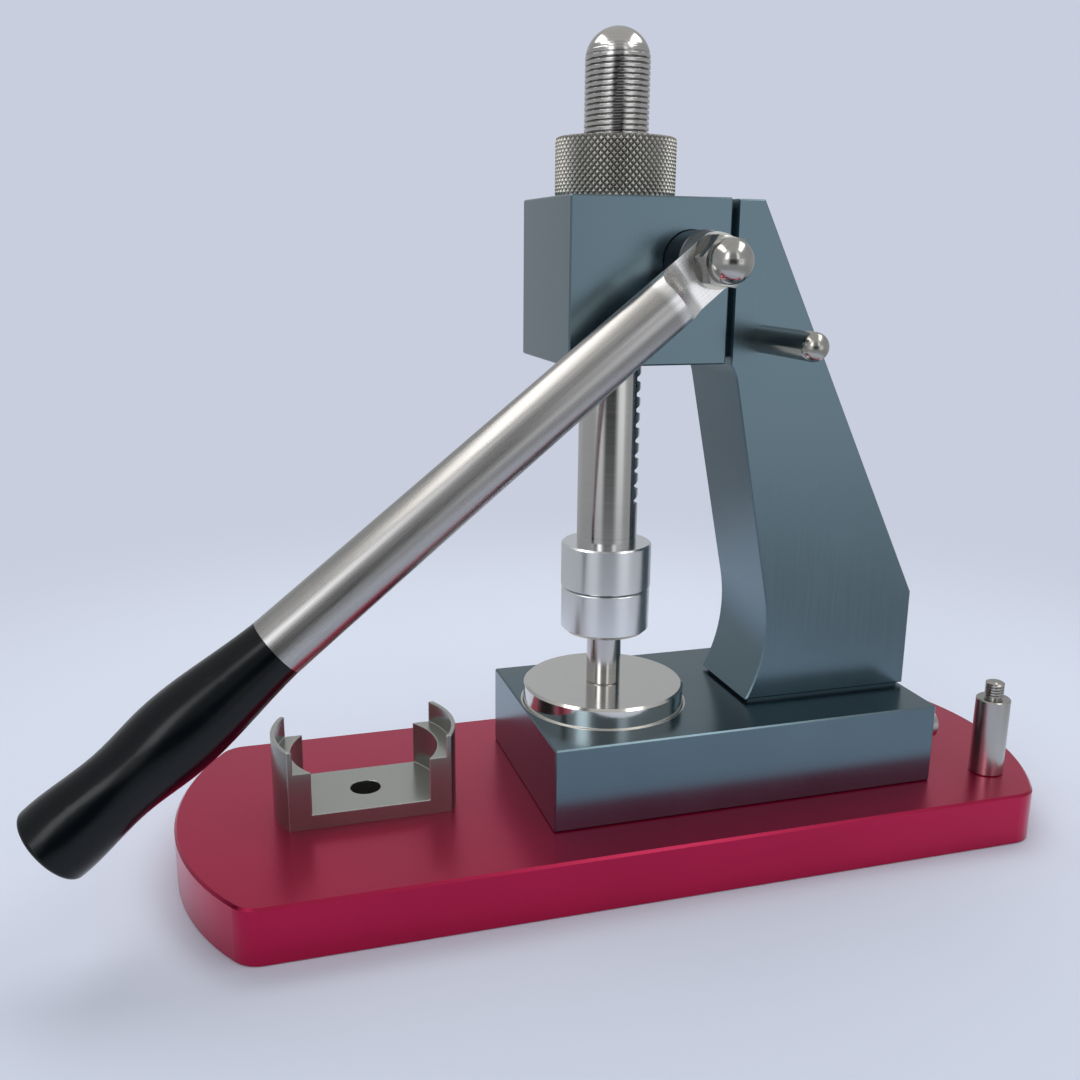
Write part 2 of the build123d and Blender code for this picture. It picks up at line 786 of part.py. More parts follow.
def make_cap_nut():
    dome_radius = cap_nut_dome_d / 2
    neck_end = cap_nut_hex_height + cap_nut_neck
    corner_radius = cap_nut_flats / sqrt(3)
    slope = (corner_radius - cap_nut_flats / 2) * tan(radians(cap_nut_edge_angle))
    face = shaft_plane(cap_nut_y)
    turned = Plane(origin=face.origin, x_dir=lever_along, z_dir=lever_across)
    with BuildPart() as cap_nut:
        with BuildSketch(face):
            RegularPolygon(cap_nut_flats / 2, 6, major_radius=False, rotation=cap_nut_turn)
        extrude(amount=neck_end + dome_radius)
        with BuildSketch(turned):
            with BuildLine():
                Polyline(
                    (0, 0),
                    (cap_nut_flats / 2, 0),
                    (corner_radius, -slope),
                    (corner_radius, slope - cap_nut_hex_height),
                    (cap_nut_flats / 2, -cap_nut_hex_height),
                    (dome_radius, -cap_nut_hex_height),
                    (dome_radius, -neck_end),
                )
                dome = ThreePointArc(
                    (dome_radius, -neck_end),
                    (dome_radius * sin(pi / 4), -neck_end - dome_radius * cos(pi / 4)),
                    (0, -neck_end - dome_radius),
                )
                Line(dome @ 1, (0, 0))
            make_face()
        revolve(axis=Axis(face.origin, (0, 1, 0)), mode=Mode.INTERSECT)
        with BuildSketch(face):
            Circle(shaft_thread_d / 2 + screw_fit)
        extrude(amount=cap_nut_bore_depth, mode=Mode.SUBTRACT)
    return cap_nut.part


# Round ended stop pin, driven into the column
def make_stop_pin():
    radius = stop_pin_d / 2
    face_y = -column_width / 2
    x = press_x + stop_pin_x
    z = stop_pin_z()
    with BuildPart() as stop_pin:
        with BuildSketch(Plane(origin=(x, face_y + stop_pin_depth, z), z_dir=(0, -1, 0))):
            Circle(radius)
        extrude(amount=stop_pin_depth + stop_pin_reach)
        chamfer(stop_pin.edges().group_by(Axis.Y)[-1], edge_break)
        with Locations((x, face_y - stop_pin_reach, z)):
            Sphere(radius)
    return stop_pin.part


# Nest: a bored ring cut to two wings, with a ledge inside and a hole in its floor
def make_nest():
    with BuildPart() as nest:
        with BuildSketch(Plane.XY.offset(plate_thickness)):
            with Locations((nest_x, 0)):
                Circle(nest_d / 2)
                Rectangle(nest_d, nest_width, mode=Mode.INTERSECT)
        extrude(amount=nest_height)
        with Locations((nest_x, 0, plate_thickness + nest_height)):
            Hole(nest_bore_d / 2, nest_height - nest_floor)
            Hole(nest_rim_d / 2, nest_height - nest_ledge_height)
            Hole(nest_hole_d / 2)
        chamfer(nest.edges().group_by(Axis.Z)[-1], nest_edge)
        with Locations(*from_below(nest_screw_points, plate_thickness)):
            Hole(m5_d / 2 + screw_fit, nest_screw_bite + nest_drill_spare)
    return nest.part


# A group of equal cap screws, heads at the spots
def make_screws(spots, screw):
    with BuildPart() as screws:
        with Locations(*spots):
            add(screw)
    return screws.part


def m8_screw(length):
    return cap_screw(m8_d, m8_head_d, m8_head_height, m8_key, length)


def m6_screw(length):
    return cap_screw(m6_d, m6_head_d, m6_head_height, m6_key, length)


def m5_screw(length):
    return cap_screw(m5_d, m5_head_d, m5_head_height, m5_key, length)


# Heads sit at the bottom of their recesses, and their shanks reach past the joint by the bite
def make_block_screws():
    seat = m8_head_height + screw_recess
    screw = m8_screw(plate_thickness - seat + block_screw_bite)
    return make_screws(from_below(block_screw_points, seat), screw)


def make_column_screws():
    seat = m8_head_height + screw_recess
    spots = from_below(column_screw_points, plate_thickness + seat)
    return make_screws(spots, m8_screw(block_height - seat + column_screw_bite))


def make_anvil_screw():
    seat = m6_head_height + screw_recess
    spots = from_below([(press_x, 0)], plate_thickness + seat)
    return make_screws(spots, m6_screw(block_height - anvil_recess_depth - seat + anvil_screw_bite))


def make_nest_screws():
    seat = m5_head_height + screw_recess
    spots = from_below(nest_screw_points, seat)
    return make_screws(spots, m5_screw(plate_thickness - seat + nest_screw_bite))


def make_rear_screws():
    return make_screws(from_rear(rear_screw_points, block_rear_x), m8_screw(rear_screw_bite))


# Two rows of head screws, each as long as the column is thick under its heads
def make_head_screws():
    with BuildPart() as head_screws:
        for z in (head_screw_low_z, head_screw_high_z):
            seat = head_screw_seat(z)
            with Locations(*from_rear(head_screw_row(z), seat)):
                add(m6_screw(seat - seat_x + head_screw_bite))
    return head_screws.part


pieces = {
    "base_plate": make_base_plate(),
    "lower_block": make_lower_block(),
    "block_screws": make_block_screws(),
    "anvil_disc": make_anvil_disc(),
    "anvil_screw": make_anvil_screw(),
    "column": make_column(),
    "column_screws": make_column_screws(),
    "head_block": make_head_block(),
    "head_screws": make_head_screws(),
    "ram_bush_lower": make_bush(head_bottom, bush_lower_length),
    "ram_bush_upper": make_bush(head_top - bush_upper_length, bush_upper_length),
    "ram": make_ram(),
    "stop_nut": make_stop_nut(),
    "coupling_collar": make_coupling_collar(),
    "punch_holder": make_punch_holder(),
    "punch": make_punch(press_x, 0, anvil_top),
    "spare_punch": make_punch(spare_x, spare_y, plate_thickness),
    "pinion_shaft": make_pinion_shaft(),
    "thrust_washer": make_thrust_washer(),
    "retaining_ring": make_retaining_ring(),
    "lever_bar": make_lever_bar(),
    "lever_grip": make_lever_grip(),
    "lever_washer": make_lever_washer(),
    "cap_nut": make_cap_nut(),
    "stop_pin": make_stop_pin(),
    "nest": make_nest(),
    "nest_screws": make_nest_screws(),
    "rear_screws": make_rear_screws(),
}

os.makedirs("parts", exist_ok=True)
for name, piece in pieces.items():
    piece.label = name
    export_step(piece, f"parts/{name}.step")
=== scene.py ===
import json
from math import cos, pi, radians, sin, sqrt

import bpy
from mathutils import Matrix, Vector


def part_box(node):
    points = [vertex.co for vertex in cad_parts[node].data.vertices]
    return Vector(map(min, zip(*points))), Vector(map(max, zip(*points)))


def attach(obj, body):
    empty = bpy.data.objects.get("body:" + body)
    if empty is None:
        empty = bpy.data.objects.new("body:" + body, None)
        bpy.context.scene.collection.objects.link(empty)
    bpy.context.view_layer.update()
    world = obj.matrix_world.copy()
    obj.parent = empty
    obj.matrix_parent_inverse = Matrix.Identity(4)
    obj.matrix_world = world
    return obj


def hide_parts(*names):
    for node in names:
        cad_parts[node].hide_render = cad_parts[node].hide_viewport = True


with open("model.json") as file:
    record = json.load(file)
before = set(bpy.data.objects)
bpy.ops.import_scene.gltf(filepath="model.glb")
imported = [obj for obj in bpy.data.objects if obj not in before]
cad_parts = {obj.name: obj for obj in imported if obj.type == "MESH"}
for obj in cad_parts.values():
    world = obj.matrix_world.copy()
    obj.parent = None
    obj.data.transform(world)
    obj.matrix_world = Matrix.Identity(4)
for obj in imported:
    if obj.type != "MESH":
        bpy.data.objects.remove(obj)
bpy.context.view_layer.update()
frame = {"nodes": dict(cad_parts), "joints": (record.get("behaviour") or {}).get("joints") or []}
mm = 0.001
micron = 0.001 * mm
print("press loaded:", len(frame["nodes"]), "nodes")


# where the press is seen from and which way, from the photograph's own lines
viewing = {
    "place": (-167.69 * mm, -433.59 * mm, 246.49 * mm),
    "heading": 16.819,      # degrees from +Y towards +X
    "dip": 14.332,          # degrees below level
    "roll": 0.527,          # degrees, with its right side raised
    "lens": 37.77,          # in mm, as the sensor's width is
    "sensor": 36,
    "nearest": 10 * mm,
}


def headingAxes(degreesRound):
    turn = radians(degreesRound)
    ahead = Vector((sin(turn), cos(turn), 0))
    toRight = Vector((cos(turn), -sin(turn), 0))
    return ahead, toRight


def addObject(name, data):
    made = bpy.data.objects.new(name, data)
    bpy.context.scene.collection.objects.link(made)
    return made


# stands an object at a place, with its own x, y and z along these axes
def stand(made, place, *axes):
    made.matrix_world = Matrix.Translation(place) @ Matrix(axes).transposed().to_4x4()


def addCamera():
    ahead, toRight = headingAxes(viewing["heading"])
    dip = radians(viewing["dip"])
    roll = radians(viewing["roll"])
    forward = ahead * cos(dip) - Vector((0, 0, sin(dip)))
    above = toRight.cross(forward)
    right = toRight * cos(roll) + above * sin(roll)
    up = above * cos(roll) - toRight * sin(roll)
    optics = bpy.data.cameras.new("pressCamera")
    optics.lens = viewing["lens"]
    optics.sensor_width = viewing["sensor"]
    optics.clip_start = viewing["nearest"]
    camera = addObject("pressCamera", optics)
    stand(camera, Vector(viewing["place"]), right, up, -forward)
    bpy.context.scene.camera = camera


addCamera()
print("camera set")


# node trees: one call puts a node in, its inputs are numbers or other nodes' outputs
def put(tree, kind, inputs=None, **settings):
    made = tree.nodes.new("ShaderNode" + kind)
    for key, value in settings.items():
        setattr(made, key, value)
    for key, value in (inputs or {}).items():
        if isinstance(value, bpy.types.NodeSocket):
            tree.links.new(value, made.inputs[key])
        else:
            made.inputs[key].default_value = value
    return made


def mathOf(tree, operation, first, second=0.0, third=0.0):
    inputs = {0: first, 1: second, 2: third}
    return put(tree, "Math", inputs, operation=operation).outputs[0]


def times(tree, first, second):
    return mathOf(tree, "MULTIPLY", first, second)


# 1 where a value is over or under a limit, 0 elsewhere
def over(tree, value, limit):
    return mathOf(tree, "GREATER_THAN", value, limit)


def under(tree, value, limit):
    return mathOf(tree, "LESS_THAN", value, limit)


def rangeOf(tree, value, low, high, toLow=0, toHigh=1, smooth=False):
    inputs = {"Value": value, "From Min": low, "From Max": high, "To Min": toLow, "To Max": toHigh}
    kind = "SMOOTHSTEP" if smooth else "LINEAR"
    return put(tree, "MapRange", inputs, interpolation_type=kind).outputs["Result"]


def vectorOf(tree, operation, first, second):
    return put(tree, "VectorMath", {0: first, 1: second}, operation=operation).outputs["Vector"]


def dotOf(tree, first, second):
    return put(tree, "VectorMath", {0: first, 1: second}, operation="DOT_PRODUCT").outputs["Value"]


def lengthOf(tree, vector):
    return put(tree, "VectorMath", {0: vector}, operation="LENGTH").outputs["Value"]


def scaled(tree, vector, by):
    return put(tree, "VectorMath", {0: vector, "Scale": by}, operation="SCALE").outputs["Vector"]


def partOf(tree, vector, letter):
    return put(tree, "SeparateXYZ", {0: vector}).outputs[letter]


def spotOf(tree):
    return put(tree, "TexCoord").outputs["Object"]


def opaque(colour):
    return colour if isinstance(colour, bpy.types.NodeSocket) else (*colour, 1)


# the Mix node keeps its colours at 6 and 7 and gives the mixed one at 2
def mixColours(tree, share, first, second):
    inputs = {0: share, 6: opaque(first), 7: opaque(second)}
    return put(tree, "Mix", inputs, data_type="RGBA").outputs[2]


# and its numbers at 2 and 3, mixed at 0
def mixNumbers(tree, share, first, second):
    return put(tree, "Mix", {0: share, 2: first, 3: second}).outputs[0]


# studio: soft lamps over the sides and the back, a pale tent, its dark mouth behind the camera
studio = {
    "backdrop": (0.578, 0.617, 0.723),
    "floor": (0.66, 0.71, 0.835),
    "floorRadius": 9.0,
    "floorSides": 96,
    "fade": (0.25, 0.65),           # metres from the press, where the floor turns into backdrop
    "mirroredFade": (0.20, 0.40),   # the same for what the metal mirrors
    # how bright the tent is near the horizon, by degrees to the right of the camera's side
    "tent": (
        (-180, 0.46),
        (-160, 0.48),
        (-140, 0.50),
        (-110, 0.44),
        (-66, 0.42),
        (-56, 0.50),
        (-47, 0.80),
        (-31, 0.85),
        (-24, 0.45),
        (-17, 0.06),
        (15, 0.05),
        (25, 0.50),
        (32, 1.0),
        (48, 1.05),
        (58, 0.55),
        (70, 0.42),
        (120, 0.44),
        (150, 0.42),
        (180, 0.46),
    ),
    # the same higher up
    "highTent": (
        (-180, 0.50),
        (-160, 0.42),
        (-130, 0.38),
        (-75, 0.42),
        (-46, 0.60),
        (-40, 2.8),
        (-29, 2.8),
        (-22, 0.50),
        (-12, 0.28),
        (14, 0.28),
        (19, 1.3),
        (27, 1.3),
        (33, 0.50),
        (60, 0.45),
        (130, 0.38),
        (155, 0.42),
        (180, 0.50),
    ),
    "tentTint": (0.97, 1.0, 1.04),
    "tentTurn": 3,                  # degrees to the left
    "ceiling": (0.52, 0.52, 0.51),
    "ground": (0.35, 0.365, 0.39),
    # where each begins and is full, as the sine of the height that one looks at
    "highFrom": (0.12, 0.28),
    "ceilingFrom": (0.5, 0.85),
    "groundFrom": (-0.12, -0.34),
    # place to the right, ahead and up, size across and along, and whether metal mirrors it
    "lamps": (
        {"place": (-0.54, 0.0, 1.0), "size": (0.26, 1.1), "watts": 2.2, "mirrored": True},
        {"place": (0.54, 0.0, 1.0), "size": (0.26, 1.1), "watts": 2.2, "mirrored": True},
        {"place": (0.0, 0.45, 1.25), "size": (1.0, 0.8), "watts": 5.4, "mirrored": False},
    ),
    "lampTint": (1.0, 0.985, 0.96),
    "aim": (0, 0, 0.15),
}


def tentBand(tree, angle, bands):
    ramp = put(tree, "ValToRGB", {"Fac": angle})
    stops = ramp.color_ramp.elements
    stops.remove(stops[1])
    for number, (degreesRound, bright) in enumerate(bands):
        place = degreesRound / 360 + 0.5
        stop = stops.new(place) if number else stops[0]
        stop.position = place
        stop.color = (*[bright * tint for tint in studio["tentTint"]], 1)
    return ramp.outputs["Color"]


def addTent():
    world = bpy.data.worlds.new("paleTent")
    bpy.context.scene.world = world
    world.use_nodes = True
    tree = world.node_tree
    tree.nodes.clear()
    ahead, toRight = headingAxes(viewing["heading"] - studio["tentTurn"])
    towards = put(tree, "TexCoord").outputs["Generated"]
    back = dotOf(tree, towards, tuple(-ahead))
    side = dotOf(tree, towards, tuple(toRight))
    # once round is 0 to 1, with the camera's side in the middle
    angle = mathOf(tree, "MULTIPLY_ADD", mathOf(tree, "ARCTAN2", side, back), 0.5 / pi, 0.5)
    height = partOf(tree, towards, "Z")
    around = tentBand(tree, angle, studio["tent"])
    layers = (
        (studio["highFrom"], tentBand(tree, angle, studio["highTent"])),
        (studio["ceilingFrom"], studio["ceiling"]),
        (studio["groundFrom"], studio["ground"]),
    )
    for span, colour in layers:
        around = mixColours(tree, rangeOf(tree, height, *span, smooth=True), around, colour)
    seen = put(tree, "LightPath").outputs["Is Camera Ray"]
    colour = mixColours(tree, seen, around, studio["backdrop"])
    light = put(tree, "Background", {"Color": colour, "Strength": 1.0})
    put(tree, "OutputWorld", {"Surface": light.outputs[0]})


def addLamp(look):
    ahead, toRight = headingAxes(viewing["heading"])
    right, forth, height = look["place"]
    place = toRight * right + ahead * forth
    place.z = height
    back = (place - Vector(studio["aim"])).normalized()
    along = (ahead - back * ahead.dot(back)).normalized()
    lamp = bpy.data.lights.new("softLamp", "AREA")
    lamp.shape = "RECTANGLE"
    lamp.size, lamp.size_y = look["size"]
    lamp.energy = look["watts"]
    lamp.color = studio["lampTint"]
    holder = addObject("softLamp", lamp)
    stand(holder, place, along.cross(back), along, back)
    holder.visible_camera = False
    holder.visible_glossy = look["mirrored"]


def addFloor():
    radius, sides = studio["floorRadius"], studio["floorSides"]
    turns = [2 * pi * k / sides for k in range(sides)]
    rim = [(radius * cos(turn), radius * sin(turn), 0) for turn in turns]
    mesh = bpy.data.meshes.new("studioFloor")
    mesh.from_pydata(rim, [], [tuple(range(sides))])
    floor = addObject("studioFloor", mesh)
    paper = bpy.data.materials.new("paleFloor")
    paper.use_nodes = True
    tree = paper.node_tree
    tree.nodes.clear()
    away = lengthOf(tree, spotOf(tree))
    seen = put(tree, "LightPath").outputs["Is Camera Ray"]
    mirroredShare = rangeOf(tree, away, *studio["mirroredFade"], smooth=True)
    seenShare = rangeOf(tree, away, *studio["fade"], smooth=True)
    share = mixNumbers(tree, seen, mirroredShare, seenShare)
    near = put(tree, "BsdfDiffuse", {"Color": opaque(studio["floor"])})
    backdrop = put(tree, "Emission", {"Color": opaque(studio["backdrop"])})
    clear = put(tree, "BsdfTransparent")
    far = put(tree, "MixShader", {0: seen, 1: clear.outputs[0], 2: backdrop.outputs[0]})
    both = put(tree, "MixShader", {0: share, 1: near.outputs[0], 2: far.outputs[0]})
    put(tree, "OutputMaterial", {"Surface": both.outputs[0]})
    mesh.materials.append(paper)


addTent()
for lampLook in studio["lamps"]:
    addLamp(lampLook)
addFloor()
print("studio ready")


# places that the finishes and the added pieces follow
def middleOf(low, high):
    return ((low.x + high.x) / 2, (low.y + high.y) / 2, 0)


upright = (0, 0, 1)
crosswise = (0, 1, 0)

ramLow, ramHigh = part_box("ram")
ramRadius = (ramHigh.y - ramLow.y) / 2
pressX = (ramLow.x + ramHigh.x) / 2
ramFoot = (pressX, 0, 0)
ramAxis = (ramFoot, upright)

nutLow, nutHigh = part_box("stop_nut")
nutRadius = (nutHigh.x - nutLow.x) / 2
discLow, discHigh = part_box("anvil_disc")
discRadius = (discHigh.x - discLow.x) / 2
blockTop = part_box("lower_block")[1].z
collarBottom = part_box("coupling_collar")[0].z

nestAxis = (middleOf(*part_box("nest")), upright)
spareLow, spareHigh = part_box("spare_punch")
spareFoot = middleOf(spareLow, spareHigh)
spareAxis = (spareFoot, upright)

leverJoint = next(j for j in frame["joints"] if j["name"] == "lever_swing")
pivot = tuple(leverJoint["pos_m"])
pivotAxis = (pivot, crosswise)
leverSlope = radians(39.23)     # how far below level the lever points at rest
leverAlong = (-cos(leverSlope), 0, -sin(leverSlope))
leverAcross = (-sin(leverSlope), 0, cos(leverSlope))


# finishes: uniform values go to the shader's own sockets, by the names that it gives them
def startFinish(name, look):
    finish = bpy.data.materials.new(name)
    finish.use_nodes = True
    tree = finish.node_tree
    shader = tree.nodes["Principled BSDF"]
    for key, value in look["shader"].items():
        shader.inputs[key].default_value = value
    return finish, tree, shader


def endFinish(tree, shader, tint, rough, normal=None):
    tree.links.new(tint, shader.inputs["Base Color"])
    tree.links.new(rough, shader.inputs["Roughness"])
    if normal:
        tree.links.new(normal, shader.inputs["Normal"])


# height along an axis, and the way out from it
def fromAxis(tree, axis):
    point, direction = axis
    spot = vectorOf(tree, "SUBTRACT", spotOf(tree), point)
    height = dotOf(tree, spot, direction)
    return height, vectorOf(tree, "SUBTRACT", spot, scaled(tree, direction, height))


def radiusOf(tree, axis):
    return lengthOf(tree, fromAxis(tree, axis)[1])


# marks that run along one direction: many for each metre across it and few along it
def alongGrain(tree, direction, across, along):
    spot = spotOf(tree)
    lengthwise = scaled(tree, direction, dotOf(tree, spot, direction))
    sideways = scaled(tree, vectorOf(tree, "SUBTRACT", spot, lengthwise), across)
    return vectorOf(tree, "ADD", sideways, scaled(tree, lengthwise, along))


# turning marks: rings round an axis, many along it and out from it and few round it
def roundGrain(tree, axis, across, along):
    height, outwards = fromAxis(tree, axis)
    radius = lengthOf(tree, outwards)
    rings = {"X": times(tree, height, across), "Y": times(tree, radius, across)}
    rings = put(tree, "CombineXYZ", rings).outputs[0]
    return vectorOf(tree, "ADD", rings, scaled(tree, outwards, along)), radius


def noiseOf(tree, vector, scale=1.0, detail=3.0, rough=0.6):
    inputs = {"Vector": vector, "Scale": scale, "Detail": detail, "Roughness": rough}
    return put(tree, "TexNoise", inputs).outputs["Fac"]


# soft clouds of tone over a whole piece
def cloudsOf(tree, scale):
    return noiseOf(tree, spotOf(tree), scale, 2.0, 0.5)


def toneOf(tree, marks, clouds, marksShare):
    rest = times(tree, clouds, 1 - marksShare)
    return mathOf(tree, "MULTIPLY_ADD", marks, marksShare, rest)


# a noise keeps to the middle of 0 to 1, so shades are spread over one of these parts of it
wideSpan = (0.3, 0.7)
narrowSpan = (0.35, 0.65)


def shades(look):
    low, high = 1 - look["spread"], 1 + look["spread"]
    return [tuple(min(1, part * by) for part in look["colour"]) for by in (low, high)]


def tintOf(tree, tone, span, look):
    return mixColours(tree, rangeOf(tree, tone, *span), *shades(look))


def bumpOf(tree, height, depth, base=None):
    inputs = {"Height": height, "Distance": depth, "Strength": 1.0}
    if base:
        inputs["Normal"] = base
    return put(tree, "Bump", inputs).outputs["Normal"]


slate = {
    "shader": {
        "Metallic": 1.0,
        "Coat Weight": 0.15,
        "Coat Roughness": 0.22,
        "Coat IOR": 1.35,
    },
    "colour": (0.138, 0.20, 0.234),
    "spread": 0.05,
    "roughness": (0.20, 0.265),
    "grain": (1500, 22),
    "depth": 2 * micron,
    "clouds": 28,
    "marksShare": 0.5,
}

# the disc's recess is cut after the colour, so the rim of it shows bare metal
recess = {
    "width": 1.15 * mm,     # how far the rim reaches beyond the disc, and how far down
    "depth": 0.63 * mm,
    "bare": (0.92, 0.92, 0.91),
    "rougher": 0.15,
}


def makeSlate(name, recessed=False):
    finish, tree, shader = startFinish(name, slate)
    marks = noiseOf(tree, alongGrain(tree, upright, *slate["grain"]))
    tone = toneOf(tree, marks, cloudsOf(tree, slate["clouds"]), slate["marksShare"])
    tint = tintOf(tree, tone, narrowSpan, slate)
    rough = rangeOf(tree, tone, *narrowSpan, *slate["roughness"])
    if recessed:
        inside = under(tree, radiusOf(tree, ramAxis), discRadius + recess["width"])
        upper = over(tree, partOf(tree, spotOf(tree), "Z"), blockTop - recess["depth"])
        rim = times(tree, inside, upper)
        tint = mixColours(tree, rim, tint, recess["bare"])
        rough = mathOf(tree, "MULTIPLY_ADD", rim, recess["rougher"], rough)
    endFinish(tree, shader, tint, rough, bumpOf(tree, marks, slate["depth"]))
    return finish


red = {
    "shader": {
        "Metallic": 0.84,
        "Specular IOR Level": 0.0,
        "Coat Weight": 0.8,
        "Coat Roughness": 0.25,
        "Coat IOR": 1.34,
    },
    "colour": (0.50, 0.003, 0.064),
    "spread": 0.04,
    "roughness": (0.27, 0.32),
    "grain": 2200,
    "depth": 0.6 * micron,
    "clouds": 14,
    "edge": (0.43, 0.006, 0.06),        # painted shade: its broken edges are darker, dimming the lamps' glint on them
    "edgeFacing": (0.3, 0.95),          # how far up they face
    "shade": (0.012, 0.001, 0.003),     # the bottom of the nest's hole
    "shadeRadius": 6.5 * mm,
}


def makeRed():
    finish, tree, shader = startFinish("redAnodised", red)
    grain = noiseOf(tree, spotOf(tree), red["grain"])
    tint = tintOf(tree, cloudsOf(tree, red["clouds"]), narrowSpan, red)
    # painted shade on the chamfers that face up
    facing = partOf(tree, put(tree, "NewGeometry").outputs["True Normal"], "Z")
    least, most = red["edgeFacing"]
    edge = times(tree, over(tree, facing, least), under(tree, facing, most))
    tint = mixColours(tree, edge, tint, red["edge"])
    shade = under(tree, radiusOf(tree, nestAxis), red["shadeRadius"])
    tint = mixColours(tree, shade, tint, red["shade"])
    rough = rangeOf(tree, grain, *wideSpan, *red["roughness"])
    endFinish(tree, shader, tint, rough, bumpOf(tree, grain, red["depth"]))
    return finish


# darker in the knurl's grooves
knurlGrooveDarkening = {
    "colour": (0.09, 0.085, 0.078),
    "share": 0.7,
    "from": 0.12 * mm,      # below the crests
    "full": 0.50 * mm,
}


def dullGrooves(tree, tint):
    start, full = nutRadius - knurlGrooveDarkening["from"], nutRadius - knurlGrooveDarkening["full"]
    groove = rangeOf(tree, radiusOf(tree, ramAxis), full, start, knurlGrooveDarkening["share"], 0)
    return mixColours(tree, groove, tint, knurlGrooveDarkening["colour"])


# a dark line at the collar's lower edge, where it meets the holder
seamDarkLine = {
    "colour": (0.05, 0.06, 0.075),
    "share": 0.9,
    "full": 0.35 * mm,      # above the edge
    "to": 0.6 * mm,
}


def darkSeam(tree, tint):
    height = partOf(tree, spotOf(tree), "Z")
    full, end = collarBottom + seamDarkLine["full"], collarBottom + seamDarkLine["to"]
    seam = rangeOf(tree, height, full, end, seamDarkLine["share"], 0)
    return mixColours(tree, seam, tint, seamDarkLine["colour"])


# the lever's tongue is milled: lighter than the bar, with marks across it
tongue = {
    "colour": (0.93, 0.915, 0.91),
    "spread": 0.07,
    "grain": (1500, 90),
    "full": 23 * mm,        # from the pivot along the lever
    "to": 27 * mm,
}


def milledTongue(tree, tint):
    along = dotOf(tree, vectorOf(tree, "SUBTRACT", spotOf(tree), pivot), leverAlong)
    milled = rangeOf(tree, along, tongue["to"], tongue["full"], smooth=True)
    marks = noiseOf(tree, alongGrain(tree, leverAcross, *tongue["grain"]))
    return mixColours(tree, milled, tint, tintOf(tree, marks, wideSpan, tongue))


steel = {
    "shader": {"Metallic": 1.0},
    "colour": (0.60, 0.585, 0.565),
    "spread": 0.06,
    "detail": 4.0,
    "rough": 0.65,          # of the noise
    "clouds": 35,
    "marksShare": 0.7,
}

# what differs in each steel; marks run round an axis or along a direction, "grain" gives how
# many there are for each metre across and along them, and without a depth they leave no relief
lightSteel = {
    "axis": ramAxis,
    "grain": (1200, 6),
    "roughness": (0.23, 0.25),
    "colour": (0.88, 0.90, 0.925),
    "spread": 0.01,
}
steels = {
    "brushedLever": {
        "direction": leverAlong,
        "grain": (1900, 30),
        "roughness": (0.22, 0.34),
        "depth": 3 * micron,
        "colour": (0.475, 0.462, 0.45),
        "change": milledTongue,
    },
    "polishedDisc": {
        "axis": ramAxis,
        "grain": (2500, 120),
        "roughness": (0.09, 0.16),
        "depth": 0.4 * micron,
        "colour": (0.74, 0.725, 0.69),
        "spread": 0.03,
    },
    "groundPunch": {
        "axis": ramAxis,
        "grain": (2600, 60),
        "roughness": (0.12, 0.22),
        "depth": 1 * micron,
    },
    "groundSparePunch": {
        "axis": spareAxis,
        "grain": (1200, 6),
        "roughness": (0.24, 0.28),
        "colour": (0.50, 0.485, 0.46),
        "spread": 0.03,
    },
    "turnedCollar": {**lightSteel, "change": darkSeam},
    "turnedHolder": lightSteel,
    "knurledSteel": {
        "axis": ramAxis,
        "grain": (1500, 400),
        "roughness": (0.34, 0.46),
        "colour": (0.58, 0.562, 0.52),
        "spread": 0.08,
        "change": dullGrooves,
    },
    "polishedNut": {
        "axis": pivotAxis,
        "grain": (2200, 40),
        "roughness": (0.11, 0.19),
        "depth": 0.8 * micron,
        "colour": (0.50, 0.49, 0.46),
        "spread": 0.08,
    },
    "polishedPin": {
        "axis": pivotAxis,
        "grain": (2600, 300),
        "roughness": (0.17, 0.25),
        "depth": 0.5 * micron,
        "colour": (0.48, 0.47, 0.43),
        "spread": 0.05,
    },
    "screwSteel": {
        "axis": ramAxis,
        "grain": (2600, 300),
        "roughness": (0.28, 0.38),
        "depth": 1 * micron,
        "colour": (0.42, 0.41, 0.40),
    },
    # painted shade: the shaft's hub and its ring are darkened for the shade round the lever's
    # pivot
    "shadedHubSteel": {
        "axis": pivotAxis,
        "grain": (2200, 90),
        "roughness": (0.25, 0.38),
        "depth": 2 * micron,
        "colour": (0.10, 0.115, 0.125),
        "spread": 0.08,
    },
    "bushBronze": {
        "axis": ramAxis,
        "grain": (2200, 90),
        "roughness": (0.25, 0.4),
        "depth": 2 * micron,
        "colour": (0.55, 0.36, 0.15),
        "spread": 0.08,
    },
}


def makeSteel(name, own):
    look = {**steel, **own}
    finish, tree, shader = startFinish(name, look)
    if "axis" in look:
        vector, _ = roundGrain(tree, look["axis"], *look["grain"])
    else:
        vector = alongGrain(tree, look["direction"], *look["grain"])
    marks = noiseOf(tree, vector, detail=look["detail"], rough=look["rough"])
    tone = toneOf(tree, marks, cloudsOf(tree, look["clouds"]), look["marksShare"])
    tint = tintOf(tree, tone, wideSpan, look)
    if "change" in look:
        tint = look["change"](tree, tint)
    rough = rangeOf(tree, tone, *wideSpan, *look["roughness"])
    normal = bumpOf(tree, marks, look["depth"]) if "depth" in look else None
    endFinish(tree, shader, tint, rough, normal)
    return finish


